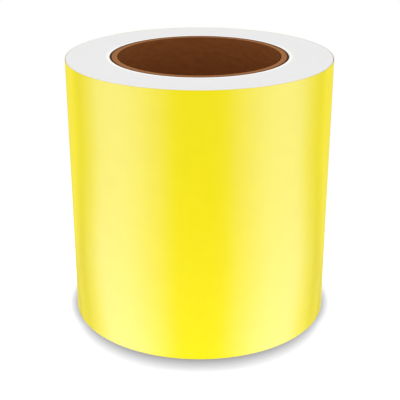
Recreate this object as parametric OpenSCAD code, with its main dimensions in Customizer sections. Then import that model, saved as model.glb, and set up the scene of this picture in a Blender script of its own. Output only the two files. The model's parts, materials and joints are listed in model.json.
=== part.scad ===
// Roll of self-adhesive sign vinyl, standing on end.
// Millimetres. +Z runs up the core's axis, z = 0 is the lower end of the roll, and the free end of the
// web is on the +Y side. The coloured film faces outwards and its release liner faces the core.

/* [Core] */
// Bore of the core, which fits a standard three-inch spindle
core_bore_d = 76.2; // [70:0.1:95]
// Thickness of the smooth paper ply that lines the bore
inner_ply_t = 0.4; // [0.4:0.05:0.6]
// Thickness of each board ply in the core's wall
board_ply_t = 0.6; // [0.4:0.02:0.9]
// Number of board plies in the core's wall
board_plies = 5; // [3:1:7]
// Thickness of the smooth paper ply round the outside of the core
outer_ply_t = 0.4; // [0.2:0.05:0.6]

/* [Start of the web] */
// Thickness of the double-sided tape that holds the web's first edge to the core
start_tape_t = 0.1; // [0.05:0.01:0.2]
// Length of that tape round the core
start_tape_len = 25; // [10:1:50]
// Bare core left above and below that tape
start_tape_margin = 3; // [1:0.5:10]

/* [Web] */
// Width of the web, which is the height of the standing roll
web_w = 127; // [80:1:200]
// Thickness of the coloured film
film_t = 0.08; // [0.06:0.01:0.12]
// Thickness of the adhesive on the film's back
adhesive_t = 0.02; // [0.01:0.01:0.04]
// Thickness of the paper release liner
liner_t = 0.05; // [0.04:0.01:0.1]
// Length of web on the roll
web_len = 45720; // [20000:10:80000]

/* [Free end] */
// Angle round the roll from +X to where the free end begins
tail_root_a = 38; // [5:1:50]
// Number of lengths that the free end bends between
tail_segments = 6; // [3:1:6]
// Length of each of them
tail_segment_len = 17.5; // [14:0.5:21]
// Slack under the last turn and the free end
tail_slack = 0.1; // [0.05:0.01:0.3]
// Length of film at the very end that peels off the liner
film_tip_len = 13; // [11.5:0.5:13.5]

/* [Closing tab] */
// Thickness of the tape that keeps the roll closed
tab_t = 0.06; // [0.04:0.01:0.12]
// Width of the tape up the roll
tab_w = 24; // [12:1:60]
// Length of tape stuck on the end of the film
tab_stuck_len = 10; // [6:0.5:11]
// Length of tape past the end of the film, which is pulled to open the roll
tab_pull_len = 14; // [8:0.5:20]

/* [Fit] */
// Play between the packed turns and the first and last turns
turn_gap = 0.02; // [0.01:0.01:0.05]

/* [Hidden] */
$fn = 180;
half_turn = 180;
full_turn = 360;
radius_step = 0.01;
angle_step = 0.01;
cut_past = 1;

kraft_color = [0.58, 0.40, 0.23];
board_color = [0.50, 0.33, 0.19];
tape_color = [0.90, 0.88, 0.78];
film_color = [0.96, 0.89, 0.05];
liner_color = [0.93, 0.93, 0.92];
tab_color = [0.94, 0.94, 0.93];

// Core, from the bore outwards
bore_r = core_bore_d / 2;
board_r = bore_r + inner_ply_t;
outer_ply_r = board_r + board_plies * board_ply_t;
core_r = outer_ply_r + outer_ply_t;

// The web winds from the core out to wound_r, the radius that its length fills, to the nearest step
web_t = film_t + adhesive_t + liner_t;
coated_film_t = film_t + adhesive_t;
wound_r = round(sqrt(core_r * core_r + web_len * web_t / PI) / radius_step) * radius_step;

// The first turn starts on the tape and climbs by one pitch, and the packed turns begin over it
first_pitch = web_t + turn_gap;
first_r = core_r + start_tape_t + first_pitch / 4;
pack_in_r = core_r + start_tape_t + first_pitch + web_t + turn_gap;
pack_r = wound_r - 2 * web_t;

// The last turn starts on the packed turns and climbs until the free end lies over its start
last_pitch = web_t + tail_slack;
last_r = pack_r + turn_gap + last_pitch / 4;

// The free end carries on from the last turn
tail_liner_r = last_r;
tail_film_r = last_r + liner_t;
tail_film_out_r = tail_film_r + coated_film_t;
tail_bend_r = tail_film_out_r + last_pitch;
tail_start_a = tail_root_a + full_turn;
segment_a = tail_angle(tail_segment_len);
tail_end_a = tail_start_a + tail_segments * segment_a;
film_tip_a = tail_end_a - tail_angle(film_tip_len);
tab_low = (web_w - tab_w) / 2;

// Angle that a length of sheet covers at a radius, to the nearest step
function arc_angle(len, r) = round(len / r * half_turn / PI / angle_step) * angle_step;

// Angle that a length of sheet covers where the free end lies
function tail_angle(len) = arc_angle(len, tail_bend_r);

// Angle at which length i of the free end begins; i = 0 is where it leaves the last turn
function tail_a(i) = tail_start_a + i * segment_a;

// A full ring between two radii, as high as the web is wide
module ring(in_r, out_r) {
    difference() {
        cylinder(h = web_w, r = out_r);
        translate([0, 0, -cut_past])
            cylinder(h = web_w + 2 * cut_past, r = in_r);
    }
}

// Sheet bent to one radius from angle a to angle b, between two heights
module bent_sheet(in_r, t, a, b, low, high) {
    rotate_extrude(start = a, angle = b - a)
        translate([in_r, low])
            square([t, high - low]);
}

// Sheet wound from angle a to angle b. Each half turn is an arc about its own centre, a quarter of
// the pitch to either side of the core's axis, so the sheet climbs by the pitch in each full turn.
module wound_sheet(in_r, t, pitch, a, b, low = 0, high = web_w) {
    for (half = [floor(a / half_turn):ceil(b / half_turn) - 1]) {
        side = half % 2 == 0 ? -1 : 1;
        translate([side * pitch / 4, 0, 0])
            bent_sheet(
                in_r + half * pitch / 2,
                t,
                max(a, half * half_turn),
                min(b, (half + 1) * half_turn),
                low,
                high
            );
    }
}

// Smooth ply that lines the bore: its inside is the bore that the spindle fits
module core_inner_ply() {
    color(kraft_color)
        ring(bore_r, board_r);
}

// Board ply i of the core's wall, counted outwards
module core_board_ply(i) {
    color(board_color)
        ring(board_r + (i - 1) * board_ply_t, board_r + i * board_ply_t);
}

// Smooth ply round the outside of the core
module core_outer_ply() {
    color(kraft_color)
        ring(outer_ply_r, core_r);
}

// Double-sided tape under the first edge of the web
module core_start_tape() {
    color(tape_color)
        bent_sheet(
            core_r,
            start_tape_t,
            0,
            arc_angle(start_tape_len, core_r),
            start_tape_margin,
            web_w - start_tape_margin
        );
}

// First turn of the web, stuck down by its liner side
module first_turn_liner() {
    color(liner_color)
        wound_sheet(first_r, liner_t, first_pitch, 0, full_turn);
}

module first_turn_film() {
    color(film_color)
        wound_sheet(first_r + liner_t, coated_film_t, first_pitch, 0, full_turn);
}

// All the tight turns between the first and the last, packed into one ring
module wound_web() {
    color(liner_color)
        ring(pack_in_r, pack_r);
}

// Last full turn, whose film is the outside of the roll
module outer_turn_liner() {
    color(liner_color)
        wound_sheet(last_r, liner_t, last_pitch, tail_root_a, tail_start_a);
}

module outer_turn_film() {
    color(film_color)
        wound_sheet(tail_film_r, coated_film_t, last_pitch, tail_root_a, tail_start_a);
}

// Liner of length i of the free end
module tail_liner(i) {
    color(liner_color)
        wound_sheet(tail_liner_r, liner_t, last_pitch, tail_a(i - 1), tail_a(i));
}

// Film of length i of the free end; the last one stops where the film tip begins
module tail_film(i) {
    color(film_color)
        wound_sheet(
            tail_film_r,
            coated_film_t,
            last_pitch,
            tail_a(i - 1),
            min(tail_a(i), film_tip_a)
        );
}

// End of the film, which peels off the liner
module film_tip() {
    color(film_color)
        wound_sheet(tail_film_r, coated_film_t, last_pitch, film_tip_a, tail_end_a);
}

// Half of the closing tape that is stuck on the film tip
module closure_tab_stuck_end() {
    color(tab_color)
        wound_sheet(
            tail_film_out_r,
            tab_t,
            last_pitch,
            tail_end_a - tail_angle(tab_stuck_len),
            tail_end_a,
            tab_low,
            tab_low + tab_w
        );
}

// Half of the closing tape that reaches over the turn below and is pulled to open the roll
module closure_tab_pull_end() {
    color(tab_color)
        wound_sheet(
            tail_film_out_r,
            tab_t,
            last_pitch,
            tail_end_a,
            tail_end_a + tail_angle(tab_pull_len),
            tab_low,
            tab_low + tab_w
        );
}

core_inner_ply();
for (i = [1:board_plies])
    core_board_ply(i);
core_outer_ply();
core_start_tape();
first_turn_liner();
first_turn_film();
wound_web();
outer_turn_liner();
outer_turn_film();
for (i = [1:tail_segments])
    tail_liner(i);
for (i = [1:tail_segments])
    tail_film(i);
film_tip();
closure_tab_stuck_end();
closure_tab_pull_end();
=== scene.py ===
"""A roll of yellow sign vinyl, standing on end on a white bench top."""

import json
import math

import bpy
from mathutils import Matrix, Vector


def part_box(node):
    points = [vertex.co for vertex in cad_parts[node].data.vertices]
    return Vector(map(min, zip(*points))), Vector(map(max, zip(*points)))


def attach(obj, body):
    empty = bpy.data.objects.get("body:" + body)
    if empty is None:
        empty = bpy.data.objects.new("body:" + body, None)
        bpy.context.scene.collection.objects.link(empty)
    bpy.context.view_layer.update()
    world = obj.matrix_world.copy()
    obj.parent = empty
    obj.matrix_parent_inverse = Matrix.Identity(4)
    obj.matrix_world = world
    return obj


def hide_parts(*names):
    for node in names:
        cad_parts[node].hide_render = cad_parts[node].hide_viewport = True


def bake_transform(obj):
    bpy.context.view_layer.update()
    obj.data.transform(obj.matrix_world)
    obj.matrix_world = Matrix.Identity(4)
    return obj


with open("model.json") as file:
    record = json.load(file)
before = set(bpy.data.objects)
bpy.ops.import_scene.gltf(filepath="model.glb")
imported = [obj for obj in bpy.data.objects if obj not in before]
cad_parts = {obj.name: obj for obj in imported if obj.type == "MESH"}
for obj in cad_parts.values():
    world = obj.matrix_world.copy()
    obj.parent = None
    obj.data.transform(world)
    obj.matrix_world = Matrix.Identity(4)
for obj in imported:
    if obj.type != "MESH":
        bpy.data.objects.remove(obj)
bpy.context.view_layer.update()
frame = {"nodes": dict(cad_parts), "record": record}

# ---------------------------------------------------------------------------
# Sizes, in metres, and angles round the roll, in degrees from +X
# ---------------------------------------------------------------------------

MM = 0.001
DEG = math.pi / 180
HALF_TURN = 180
FULL_TURN = 360

film_t = 0.10 * MM  # the coloured film with the adhesive on its back
liner_t = 0.05 * MM
tape_t = 0.06 * MM
tape_stuck_len = 10 * MM
tape_pulled_len = 14 * MM

web_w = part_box("wound_web")[1].z
pack_out_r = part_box("wound_web")[1].x
core_out_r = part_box("core_outer_ply")[1].x
board_out_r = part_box("core_board_ply_5")[1].x
board_plies = 5
board_ply_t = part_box("core_board_ply_2")[1].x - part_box("core_board_ply_1")[1].x
board_in_r = board_out_r - board_plies * board_ply_t
outer_ply_t = core_out_r - board_out_r
inner_ply_t = outer_ply_t  # the same kraft
bore_r = board_in_r - inner_ply_t
first_turn_t = 0.44 * MM  # the tape at its start, the first turn over it, and their play
pack_in_r = core_out_r + first_turn_t

hinge = {joint["name"]: Vector(joint["pos_m"]) for joint in frame["record"]["behaviour"]["joints"]}


def arc_centre(a, b, c):
    """The centre, in plan, of the circle through three points."""
    a, b, c = a.xy, b.xy, c.xy
    twice_area = 2 * (a.x * (b.y - c.y) + b.x * (c.y - a.y) + c.x * (a.y - b.y))
    aa, bb, cc = a.length_squared, b.length_squared, c.length_squared
    x = (aa * (b.y - c.y) + bb * (c.y - a.y) + cc * (a.y - b.y)) / twice_area
    y = (aa * (c.x - b.x) + bb * (a.x - c.x) + cc * (b.x - a.x)) / twice_area
    return Vector((x, y))


# The free end bends at hinges that lie on the film's outside. They give its centre and its radius.
tail_lengths = 6
bend_names = ["tail_unroll"] + [f"tail_straighten_{i}" for i in range(2, tail_lengths + 1)]
tail_centre = arc_centre(hinge[bend_names[0]], hinge[bend_names[2]], hinge[bend_names[5]])
tail_out_r = (hinge[bend_names[0]].xy - tail_centre).length
turn_pitch = -4 * tail_centre.x


def tail_angle(point):
    """How far round the roll a point of the free end lies, past the end of the last full turn."""
    across = point.xy - tail_centre
    return FULL_TURN + math.degrees(math.atan2(across.y, across.x))


def tail_reach(length):
    """How far round the roll a length of the free end reaches, to the nearest hundredth of a degree."""
    return round(math.degrees(length / tail_out_r), 2)


bend_at = [tail_angle(hinge[name]) for name in bend_names]
length_a = bend_at[1] - bend_at[0]
tail_end = bend_at[0] + tail_lengths * length_a
peel_at = tail_angle(hinge["film_peel"])
last_film_r = tail_out_r - turn_pitch - film_t
last_liner_r = last_film_r - liner_t
tape_r = tail_out_r - turn_pitch
tape_low, tape_high = (corner.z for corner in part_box("closure_tab_pull_end"))
tape_from = tail_end - tail_reach(tape_stuck_len)
tape_end = tail_end + tail_reach(tape_pulled_len)

# How finely the pieces are turned, how sharp an edge still shades smooth, and how far corners are eased
ply_steps = 240
pack_steps = 256
sheet_step_a = 0.6
tape_step_a = 0.3
smooth_a = 35
ridges_smooth_a = 60
kraft_ease = 0.12 * MM
board_ease = 0.06 * MM
sheet_ease = 0.012 * MM
tape_ease = 0.008 * MM

saw_sunk = [0.08 * MM, 0.03 * MM, 0.1 * MM, 0.05 * MM, 0.09 * MM]  # how low the saw cut each board ply
kraft_strip_rise = 95 * MM  # how far the seam of a kraft ply climbs in one turn
kraft_seam = 0.76 * MM
gap_shade_from, gap_shade_full = 0.7 * MM, 0.2 * MM  # where the painted gap shade starts in from the board's outside, and where it is full
whitest_turns, whiter_turns = 0.6 * MM, 1.8 * MM  # how far out the first turns show whiter
turns_line = 0.45 * MM  # from one line to the next on the roll's ends
ridge_depth = 0.02 * MM
shaded_cut_end_a = 0.45  # how much of the film's end shows as cut, its outside as a painted shade of the step there

# ---------------------------------------------------------------------------
# Camera and studio
# ---------------------------------------------------------------------------

camera_aside = 0.3 * MM
camera_away = 433.7 * MM
camera_height = 228.8 * MM
camera_pitch = 22.02
camera_lens = 84.3
camera_near, camera_far = 0.01, 20

bench_size = 6.0
wall_sides = 96
tent_r = 1.0
tent_h = 2.6
tent_gain = 2.8
# How brightly the tent's sides are lit, by the angle round it from the side that the camera is on
tent_lit = {
    10: 0.0,
    20: 0.04,
    31: 0.3,
    42: 0.54,
    53: 0.78,
    65: 0.93,
    78: 0.9,
    92: 0.74,
    107: 0.25,
    122: 0.07,
}
# The lamps lean backwards towards the floor: how much nearer the camera's side they stand, by height
tent_lean_low, tent_lean_low_by = -0.5, 0.91
tent_lean_high, tent_lean_high_by = -0.15, 1.065
tent_side_tint = "9AB4FF"
tent_back_tint = "FFF08C"
tent_back_lit = 0.3
tent_back_from = 0.88  # where the warm light starts, from 0 at the tent's front to 1 at its back
bench_glow = 1.0
bench_glow_by_roll = 1.42
bench_glow_near, bench_glow_far = 60 * MM, 300 * MM  # the glow falls off between them
# How far the painted contact shadow by the roll reaches over the bench, and how deep it is, from the roll's
# sides to its front
shade_reach = {"side": 8 * MM, "front": 19 * MM}
shade_depth = {"side": 1.5, "front": 2.3}
shade_side_y, shade_front_y = -30 * MM, -70 * MM
bench_glow_under_web = 0.6
bench_plan_r = 100 * MM
bench_light_drop = 1 * MM
room_glow = 0.8
soft_box_size = 1.2
# Each soft box's place, and its power in watts
soft_boxes = {
    "front_soft_box": ((0, -1.6, 0.5), 2.7),
    "back_soft_box": ((-0.8, 1.4, 0.5), 2.7),
    "left_soft_box": ((-1.55, 0.4, 0.35), 2.6),
    "right_soft_box": ((1.55, 0.4, 0.35), 2.6),
    "top_soft_box": ((0, 0, 1.7), 5.3),
}


def linear(hex_colour):
    """An sRGB colour such as "F7E70D" as linear red, green, blue and alpha."""
    parts = [int(hex_colour[i : i + 2], 16) / 255 for i in (0, 2, 4)]
    parts = [c / 12.92 if c <= 0.04045 else ((c + 0.055) / 1.055) ** 2.4 for c in parts]
    return (*parts, 1)


def add(tree, kind, inputs=None, stops=(), **settings):
    """Adds a node with its settings. Each input, by its name or its number, takes a value or another
    node's output. A colour ramp's stops are pairs of a place from 0 to 1 and a linear colour."""
    node = tree.nodes.new(kind)
    for name, value in settings.items():
        setattr(node, name, value)
    for name, value in (inputs or {}).items():
        if isinstance(value, bpy.types.NodeSocket):
            tree.links.new(value, node.inputs[name])
        else:
            node.inputs[name].default_value = value
    if stops:
        elements = node.color_ramp.elements
        elements.remove(elements[1])
        elements[0].position, elements[0].color = stops[0]
        for place, colour in stops[1:]:
            elements.new(place).color = colour
    return node


def grey(level):
    return (level, level, level, 1)


def bare_material(name):
    """A new material with no nodes, and its node tree."""
    material = bpy.data.materials.new(name)
    material.use_nodes = True
    material.node_tree.nodes.clear()
    return material, material.node_tree


def from_axis(tree, place):
    """How far a point is from the roll's axis."""
    apart = add(tree, "ShaderNodeSeparateXYZ", {"Vector": place})
    flat = add(tree, "ShaderNodeCombineXYZ", {"X": apart.outputs["X"], "Y": apart.outputs["Y"]})
    away = add(tree, "ShaderNodeVectorMath", {0: flat.outputs["Vector"]}, operation="LENGTH")
    return away.outputs["Value"]


def set_camera():
    data = bpy.data.cameras.new("camera")
    data.lens = camera_lens
    data.clip_start = camera_near
    data.clip_end = camera_far
    camera = bpy.data.objects.new("camera", data)
    camera.location = (camera_aside, -camera_away, camera_height)
    camera.rotation_euler = ((90 - camera_pitch) * DEG, 0, 0)
    bpy.context.scene.collection.objects.link(camera)
    bpy.context.scene.camera = camera


def painted_shadow_by_roll(tree, place):
    """How much of the bench's glow is left close to whatever stands on it, read from ambient occlusion: a
    painted contact shadow, deepest towards the front.
    """
    apart = add(tree, "ShaderNodeSeparateXYZ", {"Vector": place})
    reach, depth = (
        add(
            tree,
            "ShaderNodeMapRange",
            {
                "Value": apart.outputs["Y"],
                "From Min": shade_side_y,
                "From Max": shade_front_y,
                "To Min": shade["side"],
                "To Max": shade["front"],
            },
        ).outputs["Result"]
        for shade in (shade_reach, shade_depth)
    )
    # ambient occlusion darkens the bench's glow here: the painted contact shadow
    open_sky = add(tree, "ShaderNodeAmbientOcclusion", {"Distance": reach}, samples=8)
    left = add(tree, "ShaderNodeMath", {0: open_sky.outputs["AO"], 1: depth}, operation="POWER")
    return left.outputs["Value"]


def shade_under_web(tree, away):
    """Less light under the wound web, so its lower end is no brighter than its upper one."""
    plan = add(tree, "ShaderNodeMapRange", {"Value": away, "From Max": bench_plan_r})
    rings = [(0, 1), (core_out_r, 1), (pack_in_r, bench_glow_under_web)]
    rings += [(pack_out_r, bench_glow_under_web), (pack_out_r + 1 * MM, 1)]
    stops = [(radius / bench_plan_r, grey(level)) for radius, level in rings]
    left = add(tree, "ShaderNodeValToRGB", {"Fac": plan.outputs["Result"]}, stops)
    return left.outputs["Color"]


def bench_finish(name, shaded):
    """White acrylic lit from below, most under its middle, as on a light table; on the shown sheet a painted
    contact shadow dims it by the roll. It is clear from below.
    """
    material, tree = bare_material(name)
    place = add(tree, "ShaderNodeTexCoord").outputs["Object"]
    away = add(tree, "ShaderNodeVectorMath", {0: place}, operation="LENGTH").outputs["Value"]
    lit = add(
        tree,
        "ShaderNodeMapRange",
        {
            "Value": away,
            "From Min": bench_glow_near,
            "From Max": bench_glow_far,
            "To Min": bench_glow_by_roll,
            "To Max": bench_glow,
        },
        interpolation_type="SMOOTHSTEP",
    )
    left = painted_shadow_by_roll(tree, place) if shaded else shade_under_web(tree, away)
    strength = add(tree, "ShaderNodeMath", {0: lit.outputs["Result"], 1: left}, operation="MULTIPLY")
    glow = add(tree, "ShaderNodeEmission", {"Strength": strength.outputs["Value"]})
    clear = add(tree, "ShaderNodeBsdfTransparent")
    side = add(tree, "ShaderNodeNewGeometry")
    one_way = add(
        tree,
        "ShaderNodeMixShader",
        {"Fac": side.outputs["Backfacing"], 1: glow.outputs["Emission"], 2: clear.outputs["BSDF"]},
    )
    add(tree, "ShaderNodeOutputMaterial", {"Surface": one_way.outputs["Shader"]})
    return material


def bench(name, depth, shaded):
    """One sheet of the bench top, at a depth under the roll."""
    bpy.ops.mesh.primitive_plane_add(size=bench_size, location=(0, 0, -depth))
    sheet = bpy.context.object
    sheet.name = name
    sheet.visible_glossy = False
    sheet.data.materials.append(bench_finish(name + "_acrylic", shaded))
    return sheet


def lit_tent_cloth():
    """Thin cloth with a cool lamp behind it at each side, so the roll's gloss shows two soft upright bands,
    and a warm one behind its back, which fills the roll's outlines."""
    material, tree = bare_material("lit_tent_cloth")
    place = add(tree, "ShaderNodeTexCoord")
    apart = add(tree, "ShaderNodeSeparateXYZ", {"Vector": place.outputs["Object"]})
    depth = add(
        tree,
        "ShaderNodeMapRange",
        {"Value": apart.outputs["Y"], "From Min": -tent_r, "From Max": tent_r},
    )
    lean = add(
        tree,
        "ShaderNodeMapRange",
        {
            "Value": apart.outputs["Z"],
            "From Min": tent_lean_low,
            "From Max": tent_lean_high,
            "To Min": tent_lean_low_by,
            "To Max": tent_lean_high_by,
        },
    )
    leaning = add(
        tree,
        "ShaderNodeMath",
        {0: depth.outputs["Result"], 1: lean.outputs["Result"]},
        operation="MULTIPLY",
    )
    cool = linear(tent_side_tint)
    warm = [tent_back_lit * part for part in linear(tent_back_tint)]
    stops = [(0, grey(0))]
    for angle, level in tent_lit.items():
        stops.append(((1 - math.cos(angle * DEG)) / 2, [level * part for part in cool]))
    stops += [(tent_back_from, warm), (1, warm)]
    lit = add(tree, "ShaderNodeValToRGB", {"Fac": leaning.outputs["Value"]}, stops)
    glow = add(tree, "ShaderNodeEmission", {"Color": lit.outputs["Color"], "Strength": tent_gain})
    add(tree, "ShaderNodeOutputMaterial", {"Surface": glow.outputs["Emission"]})
    return material


def plain_white_backdrop():
    """White paper, lit as brightly as the bench top, so no line shows where they meet."""
    material, tree = bare_material("white_backdrop_paper")
    glow = add(tree, "ShaderNodeEmission", {"Strength": bench_glow})
    add(tree, "ShaderNodeOutputMaterial", {"Surface": glow.outputs["Emission"]})
    return material


def wall(name, radius, height, material):
    """A round wall about the set, open above and below, that lights and shades nothing."""
    bpy.ops.mesh.primitive_cylinder_add(
        vertices=wall_sides, radius=radius, depth=height, end_fill_type="NOTHING"
    )
    screen = bpy.context.object
    screen.name = name
    screen.visible_diffuse = False
    screen.visible_shadow = False
    screen.visible_transmission = False
    screen.data.materials.append(material)
    return screen


def soft_box(name, place, power):
    """A wide soft lamp, turned to the roll, that shows in nothing's gloss."""
    data = bpy.data.lights.new(name, "AREA")
    data.energy = power
    data.size = soft_box_size
    box = bpy.data.objects.new(name, data)
    box.location = place
    box.rotation_euler = Vector(place).to_track_quat("Z", "Y").to_euler()
    box.visible_glossy = False
    box.visible_camera = False
    bpy.context.scene.collection.objects.link(box)


def set_studio():
    # the sheet that shows a painted contact shadow under the roll, and the one beneath it lights the roll
    # evenly
    bench("bench_top", 0, True).visible_diffuse = False
    bench("bench_light", bench_light_drop, False).visible_camera = False

    # the tent shows in gloss alone, and the backdrop to the eye alone
    wall("light_tent", tent_r, tent_h, lit_tent_cloth()).visible_camera = False
    wall("backdrop", bench_size / 2, bench_size, plain_white_backdrop()).visible_glossy = False

    for name, (place, power) in soft_boxes.items():
        soft_box(name, place, power)

    room = bpy.data.worlds.new("white_room")
    room.use_nodes = True
    light = room.node_tree.nodes["Background"]
    light.inputs["Color"].default_value = grey(1)
    light.inputs["Strength"].default_value = room_glow
    room.cycles_visibility.glossy = False
    bpy.context.scene.world = room
    bpy.context.scene.view_settings.view_transform = "Standard"


# ---------------------------------------------------------------------------
# Materials
# ---------------------------------------------------------------------------


def finish(name, colour, roughness, ior, specular=0.5):
    """A new material with its shader's constants set, its node tree, its shader and its place."""
    material = bpy.data.materials.new(name)
    material.use_nodes = True
    tree = material.node_tree
    shader = tree.nodes["Principled BSDF"]
    shader.inputs["Base Color"].default_value = linear(colour)
    shader.inputs["Roughness"].default_value = roughness
    shader.inputs["IOR"].default_value = ior
    shader.inputs["Specular IOR Level"].default_value = specular
    place = add(tree, "ShaderNodeTexCoord").outputs["Object"]
    return material, tree, shader, place


def blotches(tree, place, size, detail, stretch=(1, 1, 1)):
    """Soft blotches about size across, drawn out along the axes by stretch."""
    drawn = add(
        tree,
        "ShaderNodeMapping",
        {"Vector": place, "Scale": tuple(1 / s for s in stretch)},
    )
    spots = add(
        tree,
        "ShaderNodeTexNoise",
        {
            "Vector": drawn.outputs["Vector"],
            "Scale": 1 / size,
            "Detail": detail,
            "Roughness": 0.5,
        },
    )
    return spots.outputs["Fac"]


def mottle(tree, shader, spots, dark, light):
    """Lets the colour drift between two close shades."""
    stops = [(0.3, linear(dark)), (0.7, linear(light))]
    colour = add(tree, "ShaderNodeValToRGB", {"Fac": spots}, stops)
    tree.links.new(colour.outputs["Color"], shader.inputs["Base Color"])


def relief(tree, shader, height, depth):
    """Raises and sinks the surface by depth, as a bump."""
    bump = add(tree, "ShaderNodeBump", {"Height": height, "Distance": depth, "Strength": 1.0})
    tree.links.new(bump.outputs["Normal"], shader.inputs["Normal"])


def calendered_vinyl():
    """Glossy PVC film pressed between rollers: a clear saturated yellow with a faint orange peel. Its
    index is set above PVC's 1.54, for a gloss that is strong under dim lamps and not only at its edges."""
    material, tree, shader, place = finish("calendered_pvc_film", "FCEB05", 0.155, 1.8)
    mottle(tree, shader, blotches(tree, place, 9 * MM, 3), "FBEA03", "FDED07")
    relief(tree, shader, blotches(tree, place, 2.2 * MM, 1), 0.0015 * MM)
    return material


def knife_cut_vinyl_and_end_shade():
    """Where a knife has cut the film: a duller, browner yellow than its face. On the film's end it is also a
    painted shade of the step there, so its end shows as a line.
    """
    material, tree, shader, place = finish("knife_cut_pvc_edge_and_end_shade", "D6C21C", 0.5, 1.54, 0.2)
    mottle(tree, shader, blotches(tree, place, 0.8 * MM, 3), "CDB818", "DFCC24")
    return material


def adhesive_back():
    """Clear acrylic adhesive on the film's back: the yellow shows through it, greyer and wetter."""
    material, tree, shader, place = finish("acrylic_adhesive_coat", "D9CC5A", 0.16, 1.47)
    mottle(tree, shader, blotches(tree, place, 5 * MM, 3), "D3C652", "DED265")
    relief(tree, shader, blotches(tree, place, 1.2 * MM, 2), 0.006 * MM)
    return material


def silicone_liner():
    """Bleached kraft paper with silicone on one face: white with a soft slip shine and fine fibres."""
    material, tree, shader, place = finish("silicone_coated_paper", "F1F1EC", 0.38, 1.43)
    mottle(tree, shader, blotches(tree, place, 1.6 * MM, 4, (1, 1, 3)), "ECECE6", "F5F5F1")
    relief(tree, shader, blotches(tree, place, 0.8 * MM, 3, (1, 1, 3)), 0.004 * MM)
    return material


def slit_edges():
    """Slit edges of film and liner side by side: a dull white with fine lines, three turns to a line
    because a single turn of 0.15 mm is too fine to show. The first turns are the whitest."""
    material, tree, shader, place = finish("slit_film_and_paper_edges", "EFEFF0", 0.6, 1.45, 0.08)
    away = from_axis(tree, place)
    line = add(
        tree,
        "ShaderNodeTexNoise",
        {"W": away, "Scale": 1 / turns_line, "Detail": 1.0},
        noise_dimensions="1D",
    )
    stops = [(0.25, linear("DFDFE2")), (0.5, linear("E8E8EA")), (0.75, linear("EFEFF0"))]
    lined = add(tree, "ShaderNodeValToRGB", {"Fac": line.outputs["Fac"]}, stops)
    by_core = add(
        tree,
        "ShaderNodeMapRange",
        {
            "Value": away,
            "From Min": pack_in_r + whitest_turns,
            "From Max": pack_in_r + whiter_turns,
            "To Min": 0.85,
            "To Max": 0,
        },
    )
    whiter = add(
        tree,
        "ShaderNodeMixRGB",
        {
            "Fac": by_core.outputs["Result"],
            "Color1": lined.outputs["Color"],
            "Color2": linear("FEFDFA"),
        },
    )
    tree.links.new(whiter.outputs["Color"], shader.inputs["Base Color"])
    return material


def kraft_ply():
    """Smooth brown kraft, machine glazed: dark, nearly even, with fibres along the wind and a faint
    spiral seam where one turn of the strip butts the next."""
    material, tree, shader, place = finish("glazed_kraft_ply", "7E4922", 0.6, 1.45, 0.03)
    fibres = blotches(tree, place, 1.5 * MM, 4, (3, 3, 1))
    stops = [(0.3, linear("79451F")), (0.7, linear("844D25"))]
    plain = add(tree, "ShaderNodeValToRGB", {"Fac": fibres}, stops)
    apart = add(tree, "ShaderNodeSeparateXYZ", {"Vector": place})
    round_core = add(
        tree,
        "ShaderNodeMath",
        {0: apart.outputs["Y"], 1: apart.outputs["X"]},
        operation="ARCTAN2",
    )
    turns = add(
        tree,
        "ShaderNodeMath",
        {0: round_core.outputs["Value"], 1: 1 / (2 * math.pi)},
        operation="MULTIPLY",
    )
    spiral = add(
        tree,
        "ShaderNodeMath",
        {0: apart.outputs["Z"], 1: 1 / kraft_strip_rise, 2: turns.outputs["Value"]},
        operation="MULTIPLY_ADD",
    )
    across = add(tree, "ShaderNodeMath", {0: spiral.outputs["Value"]}, operation="FRACT")
    stops = [(0, grey(0.8)), (kraft_seam / kraft_strip_rise, grey(1)), (1, grey(1))]
    seam = add(tree, "ShaderNodeValToRGB", {"Fac": across.outputs["Value"]}, stops)
    seamed = add(
        tree,
        "ShaderNodeMixRGB",
        {"Fac": 1, "Color1": plain.outputs["Color"], "Color2": seam.outputs["Color"]},
        blend_type="MULTIPLY",
    )
    tree.links.new(seamed.outputs["Color"], shader.inputs["Base Color"])
    relief(tree, shader, blotches(tree, place, 0.7 * MM, 3, (3, 3, 1)), 0.01 * MM)
    return material


def kraft_edge_and_gap_shade():
    """Cut edge of the kraft plies: nearly black-brown, darker kraft with a painted shade of the gaps beside
    it, at the bore and where core meets web.
    """
    # dark kraft, and painted shade of the gaps beside the plies
    material, tree, shader, place = finish("dark_kraft_edge_and_gap_shade", "321708", 0.85, 1.45, 0.05)
    mottle(tree, shader, blotches(tree, place, 0.8 * MM, 3), "2D1406", "3A1D0D")
    return material


def core_board():
    """Cut edge of grey-brown core board: a warm tan, matt and slightly furry from the saw, and darker along
    its outside, a painted shade of the gap where core meets web."""
    material, tree, shader, place = finish("sawn_core_board", "A06A3E", 0.9, 1.45, 0.08)
    fibres = blotches(tree, place, 0.9 * MM, 4)
    stops = [(0.3, linear("935F35")), (0.7, linear("AC7448"))]
    plain_board = add(tree, "ShaderNodeValToRGB", {"Fac": fibres}, stops)
    gap_shade_mask = add(
        tree,
        "ShaderNodeMapRange",
        {
            "Value": from_axis(tree, place),
            "From Min": board_out_r - gap_shade_from,
            "From Max": board_out_r - gap_shade_full,
        },
    )
    # painted shade of the gap between core and web, along the board's outside
    gap_shaded_board = add(
        tree,
        "ShaderNodeMixRGB",
        {
            "Fac": gap_shade_mask.outputs["Result"],
            "Color1": plain_board.outputs["Color"],
            "Color2": linear("4A2812"),
        },
    )
    tree.links.new(gap_shaded_board.outputs["Color"], shader.inputs["Base Color"])
    relief(tree, shader, blotches(tree, place, 0.5 * MM, 3), 0.03 * MM)
    return material


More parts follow.
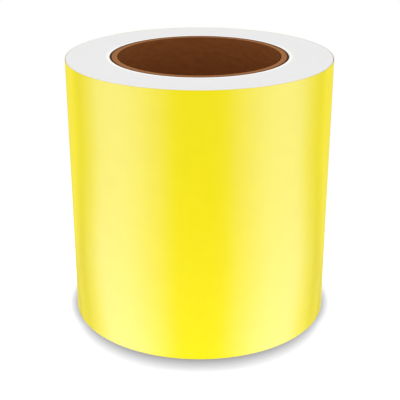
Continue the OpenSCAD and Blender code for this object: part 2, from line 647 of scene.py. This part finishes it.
def tissue_tape():
    """Double-sided tissue tape: off-white, with the wet shine of its adhesive."""
    material, tree, shader, place = finish("double_sided_tissue_tape", "F3EFDD", 0.3, 1.47)
    mottle(tree, shader, blotches(tree, place, 2 * MM, 3), "EEE9D2", "F6F3E6")
    return material


def paper_tape():
    """White paper tape that closes the roll: matt, with fine creping across its length."""
    material, tree, shader, place = finish("creped_paper_tape", "F2F2EE", 0.75, 1.45, 0.3)
    mottle(tree, shader, blotches(tree, place, 1.2 * MM, 3), "EBEBE5", "F6F6F3")
    relief(tree, shader, blotches(tree, place, 0.5 * MM, 2, (1, 1, 8)), 0.02 * MM)
    return material


def rubber_adhesive():
    """Sticky side of the paper tape: a creamy white, smoother and wetter than the paper."""
    material, tree, shader, place = finish("natural_rubber_adhesive", "EFE9D3", 0.28, 1.5)
    mottle(tree, shader, blotches(tree, place, 2.5 * MM, 3), "EAE3CA", "F3EEDC")
    relief(tree, shader, blotches(tree, place, 0.9 * MM, 2), 0.008 * MM)
    return material


# ---------------------------------------------------------------------------
# Shaping
# ---------------------------------------------------------------------------


def select_none():
    bpy.ops.object.select_all(action="DESELECT")


def upright_section(name, in_r, thick, low, high, ease, centre_x=0.0):
    """Stands a thin upright section of sheet on the +X side of the roll, with its corners eased.
    It is left in edit mode with everything selected."""
    select_none()
    bpy.ops.mesh.primitive_plane_add(size=1)
    section = bpy.context.object
    section.name = name
    section.data.name = name
    bpy.ops.object.mode_set(mode="EDIT")
    bpy.ops.transform.resize(value=(thick, high - low, 1))
    bpy.ops.transform.rotate(value=90 * DEG, orient_axis="X", center_override=(0, 0, 0))
    bpy.ops.transform.translate(value=(centre_x + in_r + thick / 2, 0, (low + high) / 2))
    if ease:
        bpy.ops.mesh.bevel(offset=ease, segments=2, affect="VERTICES")
    bpy.ops.mesh.select_all(action="SELECT")
    return section


def close_up(piece, smooth=smooth_a):
    """Merges what coincides, turns every face outwards and shades the curves smooth."""
    bpy.ops.mesh.select_all(action="SELECT")
    bpy.ops.mesh.remove_doubles(threshold=0.001 * MM)
    bpy.ops.mesh.normals_make_consistent(inside=False)
    bpy.ops.object.mode_set(mode="OBJECT")
    bpy.ops.object.shade_smooth_by_angle(angle=smooth * DEG)
    return piece


def ring(name, in_r, thick, low, high, ease, steps):
    """A tube between two radii, turned from one upright section."""
    tube = upright_section(name, in_r, thick, low, high, ease)
    bpy.ops.mesh.delete(type="ONLY_FACE")
    bpy.ops.mesh.select_all(action="SELECT")
    bpy.ops.mesh.spin(steps=steps, angle=FULL_TURN * DEG, center=(0, 0, 0), axis=(0, 0, 1))
    return close_up(tube)


def half_turn_centre(half):
    """Where, along X, the arc of a half turn has its centre."""
    return turn_pitch / 4 * (-1 if half % 2 == 0 else 1)


def wound_sheet(name, in_r, thick, a, b, low=0.0, high=web_w, step=sheet_step_a, ease=sheet_ease):
    """Sheet wound from angle a to angle b. Each half turn is an arc about its own centre, a quarter of
    the pitch to either side of the axis, so the sheet climbs by the pitch in each full turn."""
    half = math.floor(a / HALF_TURN)
    centre_x = half_turn_centre(half)
    sheet = upright_section(name, in_r + half * turn_pitch / 2, thick, low, high, ease, centre_x)
    bpy.ops.transform.rotate(value=-a * DEG, orient_axis="Z", center_override=(centre_x, 0, 0))
    while a < b:
        reach = min(b, (half + 1) * HALF_TURN)
        bpy.ops.mesh.spin(
            steps=max(2, round((reach - a) / step)),
            angle=-(reach - a) * DEG,
            center=(half_turn_centre(half), 0, 0),
            axis=(0, 0, 1),
        )
        a = reach
        half += 1
    return close_up(sheet)


def two_faced(sheet, outside, inside):
    """Gives a bent sheet one material outside and another on the face towards the core."""
    sheet.data.materials.append(outside)
    sheet.data.materials.append(inside)
    for face in sheet.data.polygons:
        inwards = face.normal.xy.dot(face.center.xy) < -0.5 * face.center.xy.length
        face.material_index = 1 if inwards else 0


def cut_edged(sheet, cut, end):
    """Gives the slit edges of a sheet of film the look of a cut, and its end too unless that is None, where
    the last strip of its outside is painted shade of the step.
    """
    sheet.data.materials.append(cut)
    last = len(sheet.data.materials) - 1
    for face in sheet.data.polygons:
        # the end strip of the outside is painted shade of the film's step
        at_end = end is not None and tail_angle(face.center) > end - shaded_cut_end_a
        outward = face.normal.xy.dot(face.center.xy) > 0.5 * face.center.xy.length
        if abs(face.normal.z) > 0.5 or (at_end and (outward or abs(face.normal.z) < 0.1)):
            face.material_index = last


def end_faced(tube, ends):
    """Gives a tube's two ends a material of their own."""
    tube.data.materials.append(ends)
    for face in tube.data.polygons:
        if abs(face.normal.z) > 0.5:
            face.material_index = 1


# ---------------------------------------------------------------------------
# Pieces
# ---------------------------------------------------------------------------


def ply(name, node_name, in_r, thick, face, ends=None, sunk=0, ease=kraft_ease):
    """One ply of the core, cut short at both ends by sunk."""
    tube = ring(name, in_r, thick, sunk, web_w - sunk, ease, ply_steps)
    tube.data.materials.append(face)
    if ends:
        end_faced(tube, ends)
    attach(tube, "roll")
    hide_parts(node_name)


def core(kraft, edge_and_gap_shade, board):
    """Seven plies: smooth kraft inside and outside, and board between them."""
    ply("kraft_lining_ply", "core_inner_ply", bore_r, inner_ply_t, kraft, edge_and_gap_shade)
    for i in range(board_plies):
        ply(
            f"board_ply_{i + 1}",
            f"core_board_ply_{i + 1}",
            board_in_r + i * board_ply_t,
            board_ply_t,
            board,
            sunk=saw_sunk[i],
            ease=board_ease,
        )
    ply("kraft_outer_ply", "core_outer_ply", board_out_r, outer_ply_t, kraft, edge_and_gap_shade)


def packed_turns(edges):
    """The tight turns as one ring, with fine ridges on both ends where some turns stand proud."""
    thick = pack_out_r - pack_in_r
    ridges = round(thick / turns_line)
    pack = upright_section("packed_turns", pack_in_r, thick, 0, web_w, 0)
    bpy.ops.mesh.delete(type="ONLY_FACE")
    bpy.ops.mesh.select_all(action="DESELECT")
    bpy.ops.object.mode_set(mode="OBJECT")
    for edge in pack.data.edges:
        a, b = (pack.data.vertices[v].co for v in edge.vertices)
        edge.select = abs(a.z - b.z) < 1 * MM
    bpy.ops.object.mode_set(mode="EDIT")
    bpy.ops.mesh.select_mode(type="EDGE")
    bpy.ops.mesh.subdivide(number_cuts=2 * ridges - 1)
    bpy.ops.mesh.select_mode(type="VERT")
    for end, sink in ((0, ridge_depth), (web_w, -ridge_depth)):
        bpy.ops.mesh.select_all(action="DESELECT")
        bpy.ops.object.mode_set(mode="OBJECT")
        row = [v for v in pack.data.vertices if abs(v.co.z - end) < 1 * MM]
        row.sort(key=lambda v: v.co.x)
        for valley in row[1:-1:2]:
            valley.select = True
        bpy.ops.object.mode_set(mode="EDIT")
        bpy.ops.transform.translate(value=(0, 0, sink))
    bpy.ops.mesh.select_all(action="SELECT")
    bpy.ops.mesh.spin(steps=pack_steps, angle=FULL_TURN * DEG, center=(0, 0, 0), axis=(0, 0, 1))
    close_up(pack, ridges_smooth_a)
    pack.data.materials.append(edges)
    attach(pack, "roll")
    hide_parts("wound_web")


def film_sheet(name, node_name, a, b, vinyl, adhesive, cut, cut_end=None):
    """Film with its adhesive on its back, from angle a to angle b of the last turn and the free end."""
    film = wound_sheet(name, last_film_r, film_t, a, b)
    two_faced(film, vinyl, adhesive)
    cut_edged(film, cut, cut_end)
    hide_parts(node_name)
    return film


def liner_sheet(name, node_name, a, b, liner):
    """The liner under the film, from angle a to angle b."""
    paper = wound_sheet(name, last_liner_r, liner_t, a, b)
    two_faced(paper, liner, liner)
    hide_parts(node_name)
    return paper


def last_turn(vinyl, adhesive, cut, liner):
    """The last full turn, as far as the start of the free end's first piece."""
    start = bend_at[0] - FULL_TURN
    end = bend_at[0] - length_a / 2
    film = film_sheet("last_turn_film", "outer_turn_film", start, end, vinyl, adhesive, cut)
    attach(film, "roll")
    paper = liner_sheet("last_turn_liner", "outer_turn_liner", start, end, liner)
    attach(paper, "roll")


def free_end(vinyl, adhesive, cut, liner):
    """The free end, in pieces that each bend over one hinge. They meet halfway between hinges."""
    last_reach = (peel_at - bend_at[-1]) / 2
    for i in range(tail_lengths):
        last = i == tail_lengths - 1
        reach = last_reach if last else length_a / 2
        a = bend_at[i] - length_a / 2
        film_b = bend_at[i] + reach
        liner_b = tail_end if last else film_b
        film = film_sheet(
            f"free_film_{i + 1}", f"tail_film_{i + 1}", a, film_b, vinyl, adhesive, cut
        )
        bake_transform(film)
        paper = liner_sheet(f"free_liner_{i + 1}", f"tail_liner_{i + 1}", a, liner_b, liner)
        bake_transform(paper)
    start = peel_at - last_reach
    tip = film_sheet("film_end", "film_tip", start, tail_end, vinyl, adhesive, cut, tail_end)
    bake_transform(tip)


def closing_tape(tape, adhesive):
    """One length of paper tape, stuck on the film's end and pulled at its far end."""
    strip = wound_sheet(
        "closing_tape",
        tape_r,
        tape_t,
        tape_from,
        tape_end,
        tape_low,
        tape_high,
        tape_step_a,
        tape_ease,
    )
    two_faced(strip, tape, adhesive)
    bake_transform(strip)
    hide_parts("closure_tab_stuck_end", "closure_tab_pull_end")


def keep(node_name, material):
    """Gives a CAD node that stays its better material."""
    for slot in frame["nodes"][node_name].material_slots:
        slot.material = material


set_camera()
set_studio()
vinyl = calendered_vinyl()
adhesive = adhesive_back()
cut = knife_cut_vinyl_and_end_shade()
liner = silicone_liner()
edges = slit_edges()
core(kraft_ply(), kraft_edge_and_gap_shade(), core_board())
keep("core_start_tape", tissue_tape())
# of the first turn only the slit ends show
keep("first_turn_liner", liner)
keep("first_turn_film", edges)
packed_turns(edges)
last_turn(vinyl, adhesive, cut, liner)
free_end(vinyl, adhesive, cut, liner)
closing_tape(paper_tape(), rubber_adhesive())
